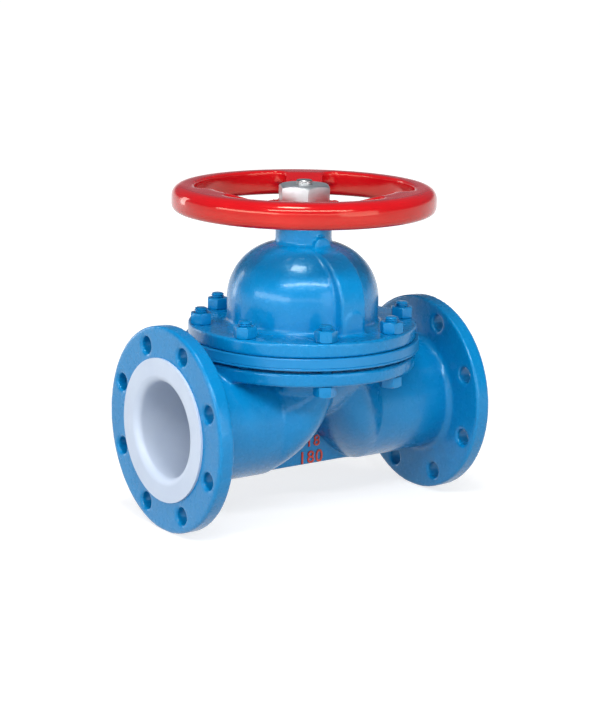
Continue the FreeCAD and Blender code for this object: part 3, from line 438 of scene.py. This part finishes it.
blue_cast = enamel("blue_enamel_on_casting", BLUE, BLUE_SHADE, rough=0.26, skin=1.0,
                   coat=0.22, tint=COOL_GLOSS)
blue_smooth = enamel("blue_enamel_on_steel", BLUE, BLUE_SHADE, rough=0.28, skin=0.4,
                     coat=0.25, tint=COOL_GLOSS)
red_cast = enamel("red_enamel_on_casting", RED, RED_SHADE, rough=0.11, skin=0.06,
                  tint=WARM_GLOSS, gloss=0.55)
red_mark = enamel("red_enamel_on_numerals", RED_MARK, RED_SHADE, rough=0.40, skin=0.6,
                  coat=0.1, tint=WARM_GLOSS)
primed_casting = enamel("grey_primed_casting", PRIMER, PRIMER_SHADE, rough=0.6, skin=1.2)
white_liner = plastic("white_liner", WHITE, WHITE_SHADE, rough=0.35)
black_rubber = plastic("black_rubber", RUBBER, RUBBER_SHADE, rough=0.6)
face_liner = painted_at_edge("white_face_layer", WHITE, 0.35, BLUE, 0.36)
cushion_rubber = painted_at_edge("rubber_cushion", RUBBER, 0.60, BLUE, 0.38)
zinc = metal("zinc_plated_steel", (0.66, 0.68, 0.70), (0.58, 0.60, 0.61), 0.38, 0.52)
turned_steel = metal("turned_steel", (0.55, 0.56, 0.56), (0.46, 0.47, 0.47), 0.28, 0.42)
bronze_metal = metal("bronze", (0.70, 0.46, 0.20), (0.60, 0.38, 0.16), 0.3, 0.45)

NODE_FINISH = {
    "body_casting": blue_cast, "bonnet": blue_cast, "bonnet_bolts": blue_smooth,
    "bonnet_studs": blue_smooth, "bonnet_nuts": blue_smooth, "diaphragm_cushion": cushion_rubber,
    "diaphragm_face": face_liner, "body_lining": white_liner, "handwheel": red_cast,
    "handwheel_nut": zinc, "handwheel_washer": zinc, "stem": turned_steel,
    "compressor": primed_casting, "compressor_pin": turned_steel, "diaphragm_stud": turned_steel,
    "stem_nut": bronze_metal, "handwheel_key": turned_steel, "bearing_cap": turned_steel,
    "cap_lock_screw": turned_steel, "cap_seal": black_rubber, "stem_seal": black_rubber,
    "lower_thrust_washer": bronze_metal, "upper_thrust_washer": bronze_metal,
}


def dress_nodes():
    for name, material in NODE_FINISH.items():
        mesh = nodes[name].data
        mesh.materials.clear()
        mesh.materials.append(material)


# Modelling

def apply_modifier(piece, kind, **values):
    """Add one modifier with its settings and apply it."""
    pick(piece)
    modifier = piece.modifiers.new(kind.lower(), kind)
    for name, value in values.items():
        setattr(modifier, name, value)
    bpy.ops.object.modifier_apply(modifier=modifier.name)


def close_up():
    """In edit mode, merge doubles and turn the faces outwards."""
    bpy.ops.mesh.select_all(action="SELECT")
    bpy.ops.mesh.remove_doubles(threshold=WELD)
    bpy.ops.mesh.normals_make_consistent(inside=False)


def arc(centre, radius, start, end, steps):
    """Points of (reach, height) along an arc, angles in degrees from the outward level."""
    middle_reach, middle_height = centre
    points = []
    for step in range(steps + 1):
        angle = math.radians(start + (end - start) * step / steps)
        points.append((middle_reach + radius * math.cos(angle),
                       middle_height + radius * math.sin(angle)))
    return points


def turned(name, outline, steps=TURNED_STEPS):
    """A turned piece: a circle pulled up through an outline of (reach, height), ends filled."""
    deselect()
    reach, height = outline[0]
    bpy.ops.mesh.primitive_circle_add(vertices=steps, radius=reach, location=(0, 0, height))
    piece = bpy.context.object
    piece.name = name
    bpy.ops.object.transform_apply(location=True, rotation=True, scale=True)
    bpy.ops.object.mode_set(mode="EDIT")
    bpy.ops.mesh.select_mode(type="EDGE")
    bpy.ops.mesh.select_all(action="SELECT")
    bpy.ops.mesh.edge_face_add()
    for next_reach, next_height in outline[1:]:
        bpy.ops.mesh.extrude_region_move(
            TRANSFORM_OT_translate={"value": (0, 0, next_height - height)})
        grow = next_reach / reach
        bpy.ops.transform.resize(value=(grow, grow, 1), center_override=(0, 0, 0))
        reach, height = next_reach, next_height
    close_up()
    bpy.ops.object.mode_set(mode="OBJECT")
    return piece


def meet(piece, other, operation):
    """Boolean of two pieces; the second one is used up."""
    apply_modifier(piece, "BOOLEAN", object=other, operation=operation, solver="EXACT")
    bpy.data.objects.remove(other, do_unlink=True)


def moved_copy(piece, turn, reach, azimuth):
    """A copy with its own mesh, turned on itself and set out on a circle about the stem."""
    copy = piece.copy()
    copy.data = piece.data.copy()
    bpy.context.scene.collection.objects.link(copy)
    out = math.radians(azimuth)
    place = Matrix.Translation((reach * math.cos(out), reach * math.sin(out), 0))
    copy.matrix_world = place @ Matrix.Rotation(math.radians(turn), 4, "Z")
    return copy


def joined(name, pieces):
    """Several pieces made one object, its place in its mesh."""
    deselect()
    for piece in pieces:
        piece.select_set(True)
    bpy.context.view_layer.objects.active = pieces[0]
    bpy.ops.object.join()
    piece = bpy.context.view_layer.objects.active
    piece.name = name
    return piece


def hand_over(piece, name, material, body, replaced=(), smooth=35):
    """Name, finish and place a finished piece: what it rides on and what it stands for."""
    pick(piece)
    piece.name = name
    piece.data.name = name
    bpy.ops.object.transform_apply(location=True, rotation=True, scale=True)
    piece.data.materials.clear()
    piece.data.materials.append(material)
    bpy.ops.object.shade_smooth_by_angle(angle=math.radians(smooth))
    if replaced:
        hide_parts(*replaced)
    if body:
        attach(piece, body)
    return piece


# Castings: the machined solid gets the soft edges and fillets of its mould

def cast_copy(node, grain, softness, keep=1.0):
    """A copy of a casting's solid, remeshed and smoothed so that every edge is cast round.
    The grain is the remesh size in metres and keep the share of the faces that is left."""
    source = nodes[node]
    piece = source.copy()
    piece.data = source.data.copy()
    piece.parent = None
    piece.hide_render = False
    bpy.context.scene.collection.objects.link(piece)
    pick(piece)
    bpy.ops.object.mode_set(mode="EDIT")
    bpy.ops.mesh.select_all(action="SELECT")
    bpy.ops.mesh.remove_doubles(threshold=CAST_WELD)
    bpy.ops.object.mode_set(mode="OBJECT")
    apply_modifier(piece, "REMESH", mode="VOXEL", voxel_size=grain, adaptivity=0.0)
    apply_modifier(piece, "SMOOTH", factor=0.5, iterations=softness)
    if keep < 1.0:
        apply_modifier(piece, "DECIMATE", decimate_type="COLLAPSE", ratio=keep)
    return piece


def make_castings():
    body = cast_copy("body_casting", grain=1.8 * MM, softness=3, keep=0.62)
    hand_over(body, "cast_body", blue_cast, "body", ("body_casting",), smooth=60)
    bonnet = cast_copy("bonnet", grain=1.4 * MM, softness=4)
    hand_over(bonnet, "cast_bonnet", blue_cast, "body", ("bonnet",), smooth=60)
    wheel = cast_copy("handwheel", grain=1.5 * MM, softness=14)
    hand_over(wheel, "cast_handwheel", red_cast, "drive", ("handwheel",), smooth=60)


# Fasteners

def hexagon_block(name, flats, foot, top, turned_ends=("foot", "top")):
    """A hexagon whose corners are turned off at 30 degrees where an end is named."""
    reach = flats / math.sqrt(3)
    deselect()
    bpy.ops.mesh.primitive_cylinder_add(vertices=6, radius=reach, depth=top - foot,
                                        location=(0, 0, (foot + top) / 2),
                                        rotation=(0, 0, math.radians(30)))
    block = bpy.context.object
    block.name = name
    bpy.ops.object.transform_apply(location=True, rotation=True, scale=True)
    wide = reach + MM
    end_reach = flats * HEXAGON_END
    fall = (wide - end_reach) / math.sqrt(3)
    outline = [(wide, foot), (wide, top)]
    if "foot" in turned_ends:
        outline = [(end_reach, foot), (wide, foot + fall)] + outline[1:]
    if "top" in turned_ends:
        outline = outline[:-1] + [(wide, top - fall), (end_reach, top)]
    meet(block, turned("corner_cone", outline), "INTERSECT")
    apply_modifier(block, "BEVEL", width=HEXAGON_EDGE, segments=2, limit_method="ANGLE",
                   angle_limit=math.radians(25))
    return block


def threaded_rod(name, radius, pitch, foot, top):
    """A rod with a real helical thread: a zigzag screwed round the axis, its tip rounded off."""
    depth = pitch * THREAD_DEPTH
    land = pitch * THREAD_LAND
    flank = pitch * THREAD_FLANK
    deselect()
    bpy.ops.mesh.primitive_plane_add(size=MM, location=(0, 0, 0))
    rod = bpy.context.object
    rod.name = name
    bpy.ops.object.mode_set(mode="EDIT")
    bpy.ops.mesh.select_mode(type="VERT")
    bpy.ops.mesh.select_all(action="SELECT")
    bpy.ops.mesh.merge(type="CENTER")
    bpy.ops.transform.translate(value=(radius, 0, foot - 2 * pitch))
    for _ in range(math.ceil((top - foot) / pitch) + 3):
        for out, rise in ((0, land), (-depth, flank), (0, land), (depth, flank)):
            bpy.ops.mesh.extrude_region_move(TRANSFORM_OT_translate={"value": (out, 0, rise)})
    bpy.ops.object.mode_set(mode="OBJECT")
    apply_modifier(rod, "SCREW", axis="Z", angle=2 * math.pi, screw_offset=pitch, steps=SCREW_STEPS,
                   render_steps=SCREW_STEPS, use_merge_vertices=True, merge_threshold=WELD)
    bpy.ops.object.mode_set(mode="EDIT")
    close_up()
    for level, way in ((foot, -1), (top, 1)):
        bpy.ops.mesh.select_all(action="SELECT")
        bpy.ops.mesh.bisect(plane_co=(0, 0, level), plane_no=(0, 0, way), clear_outer=True,
                            use_fill=True)
    close_up()
    bpy.ops.object.mode_set(mode="OBJECT")
    tip_foot = top - TIP_LENGTH
    tip = [(radius + MM, foot - MM), (radius + MM, tip_foot), (radius, tip_foot + TIP_SHOULDER)]
    tip += [(radius - inwards, top - down) for inwards, down in TIP_ROUND]
    meet(rod, turned("rod_tip", tip, SMALL_STEPS), "INTERSECT")
    return rod


def make_bonnet_bolting():
    """One nut, one stud and one bolt, set out round the bonnet as in the photograph."""
    nut = hexagon_block("nut", BOLT_FLATS, BONNET_DECK, NUT_TOP)
    bore = BOLT_RADIUS - NUT_THREAD_DEPTH
    mouth = BOLT_RADIUS + NUT_MOUTH_GROWTH
    meet(nut, turned("nut_bore", [(bore, BONNET_DECK - MM), (bore, NUT_TOP - NUT_MOUTH_DEPTH),
                                  (mouth, NUT_TOP + 0.1 * MM), (mouth, NUT_TOP + MM)],
                     SMALL_STEPS), "DIFFERENCE")
    stud = threaded_rod("stud", BOLT_RADIUS, BOLT_PITCH, STUD_FOOT, BOLT_TOP)
    bolt = threaded_rod("bolt", BOLT_RADIUS, BOLT_PITCH, HEAD_FOOT + MM, BOLT_TOP)
    head = hexagon_block("head", BOLT_FLATS, HEAD_FOOT, HEAD_FOOT + BOLT_HEAD, ("foot",))
    groups = {"nuts": [], "studs": [], "bolts": []}
    for place, turn in NUT_TURNS.items():
        groups["nuts"].append(moved_copy(nut, turn, BOLT_CIRCLE, place))
        if place in STUD_PLACES:
            groups["studs"].append(moved_copy(stud, turn, BOLT_CIRCLE, place))
        else:
            groups["bolts"].append(moved_copy(bolt, turn, BOLT_CIRCLE, place))
            groups["bolts"].append(moved_copy(head, turn, BOLT_CIRCLE, place))
    for pattern in (nut, stud, bolt, head):
        bpy.data.objects.remove(pattern, do_unlink=True)
    for kind, pieces in groups.items():
        hand_over(joined(kind, pieces), "painted_" + kind, blue_smooth, "body",
                  ("bonnet_" + kind,))


def make_cap_nut():
    """Plated cap nut with turned-off corners, open at the top for the stem, and its washer."""
    foot, top = CAP_NUT[0].z, CAP_NUT[1].z
    nut = hexagon_block("cap_nut", CAP_FLATS, foot, top, ("top",))
    lid = top - CAP_LID
    mouth_top = top + CAP_HOLE_MOUTH - CAP_HOLE - CAP_HOLE_CHAMFER
    meet(nut, turned("cap_nut_room", [(CAP_BORE, foot - MM), (CAP_BORE, lid), (CAP_HOLE, lid),
                                      (CAP_HOLE, top - CAP_HOLE_CHAMFER),
                                      (CAP_HOLE_MOUTH, mouth_top),
                                      (CAP_HOLE_MOUTH, top + MM)]), "DIFFERENCE")
    nut.matrix_world = Matrix.Rotation(math.radians(CAP_TURN), 4, "Z")
    hand_over(nut, "plated_cap_nut", zinc, "drive", ("handwheel_nut",))
    low, high = WASHER[0].z, WASHER[1].z
    face_reach = WASHER_RADIUS - WASHER_CHAMFER
    washer = turned("washer", [(face_reach, low), (WASHER_RADIUS, low + WASHER_CHAMFER),
                               (WASHER_RADIUS, high - WASHER_CHAMFER), (face_reach, high)])
    meet(washer, turned("washer_bore", [(CAP_BORE, low - MM), (CAP_BORE, high + MM)]),
         "DIFFERENCE")
    hand_over(washer, "plated_washer", zinc, "drive", ("handwheel_washer",))


# Diaphragm

def make_diaphragm():
    """Both layers of the diaphragm, turned with many rings on the bowl."""
    centre = FACE_FOOT + BOWL_BALL
    side = DIAPHRAGM_EDGE - DIAPHRAGM_EDGE_ROUND
    face_edge = CUSHION_TOP - CUSHION_LAYER - FACE_LAYER
    cushion_edge = face_edge + FACE_LAYER

    def layer(name, ball, wall, foot, top):
        tilt = math.degrees(math.asin((foot - centre) / ball))
        back = ball - wall
        back_tilt = math.degrees(math.asin((top - centre) / back))
        outline = arc((0, centre), ball, BOWL_MIDDLE, tilt, BOWL_STEPS)
        outline += [(FLAT_RING, foot), (side, foot),
                    (DIAPHRAGM_EDGE, foot + DIAPHRAGM_EDGE_ROUND),
                    (DIAPHRAGM_EDGE, top - DIAPHRAGM_EDGE_ROUND), (side, top), (FLAT_RING, top)]
        outline += arc((0, centre), back, back_tilt, BOWL_MIDDLE, BOWL_STEPS)
        return turned(name, outline, DIAPHRAGM_STEPS)

    face = layer("face", BOWL_BALL, FACE_LAYER, face_edge, cushion_edge)
    cushion = layer("cushion", BOWL_BALL - FACE_LAYER, CUSHION_WALL, cushion_edge, CUSHION_TOP)
    for piece, name, material, slot, node in (
            (face, "diaphragm_face_sheet", face_liner, "white_lining", "diaphragm_face"),
            (cushion, "diaphragm_cushion_sheet", cushion_rubber, "rubber_edge",
             "diaphragm_cushion")):
        hand_over(piece, name, material, None, (node,))
        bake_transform(piece)


# Numerals cast on the web

def make_numerals():
    """Plain raised numbers on the web, two lines, painted red."""
    for number, (words, middle, foot, height) in enumerate(NUMERALS):
        deselect()
        bpy.ops.object.text_add(location=(0, 0, 0))
        text = bpy.context.object
        text.data.body = words
        text.data.align_x = "CENTER"
        text.data.size = height / FIGURE_HEIGHT
        text.data.extrude = NUMERAL_DEPTH
        text.data.offset = NUMERAL_THINNING
        text.data.bevel_depth = NUMERAL_EDGE
        text.data.bevel_resolution = 1
        text.data.space_character = NUMERAL_SPACING
        bpy.ops.object.convert(target="MESH")
        piece = bpy.context.object
        piece.matrix_world = (Matrix.Translation((middle, NUMERAL_PLANE, foot)) @
                              Matrix.Rotation(math.radians(90), 4, "X"))
        hand_over(piece, "cast_number_%d" % (number + 1), red_mark, "body")


make_camera()
make_studio()
dress_nodes()
make_castings()
make_bonnet_bolting()
make_cap_nut()
make_diaphragm()
make_numerals()

bpy.context.scene.view_settings.view_transform = "Standard"
